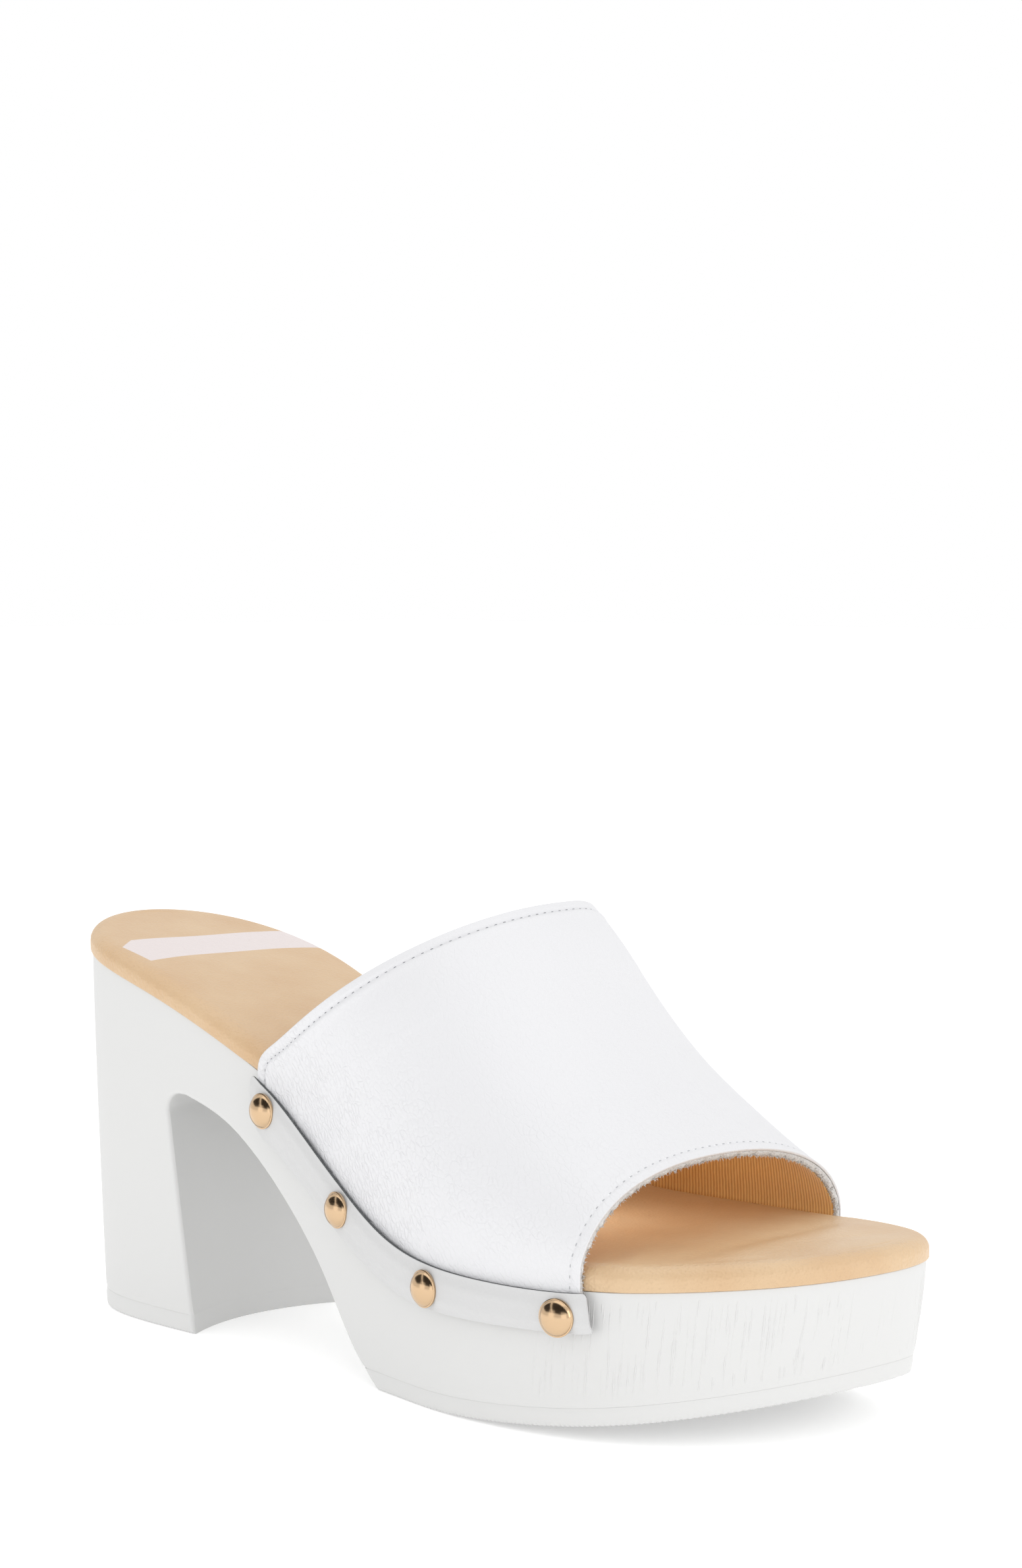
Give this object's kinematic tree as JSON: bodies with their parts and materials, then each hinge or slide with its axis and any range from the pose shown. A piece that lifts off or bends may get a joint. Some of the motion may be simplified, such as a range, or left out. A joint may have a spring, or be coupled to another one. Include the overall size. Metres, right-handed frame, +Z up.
{
  "type": "platform sandal",
  "caption": "Right backless platform sandal: a high moulded sole with a block heel, a padded insole, and one wide open-toed leather vamp held by studded side strips.",
  "frame": {"origin": "on the ground, on the flat face of the heel, under the middle of the heel", "axes": "+X towards the toe, +Y towards the inner (medial) side, +Z up"},
  "size_m": [0.2462, 0.1024, 0.111],
  "materials": {
    "moulded_sole": "warm white moulded polyurethane with a raised wood-grain relief, satin",
    "tread": "warm white, smooth and matt",
    "insole_leather": "tan, smooth with fine wrinkles, soft sheen",
    "upper_leather": "white, pebbled grain, semi-gloss, over a tan cloth lining",
    "strip_leather": "white, finely grained, with dark raw cut edges",
    "studs": "polished pale gold"
  },
  "bodies": {
    "root": {"sole_unit": "moulded_sole", "outsole_forepart": "tread", "heel_top_piece": "tread", "insole": "insole_leather", "vamp": "upper_leather", "welt_strip_lateral": "strip_leather", "welt_strip_medial": "strip_leather", "stud_lateral_1": "studs", "stud_lateral_2": "studs", "stud_lateral_3": "studs", "stud_lateral_4": "studs", "stud_medial_1": "studs", "stud_medial_2": "studs", "stud_medial_3": "studs", "stud_medial_4": "studs"}
  },
  "joints": []
}
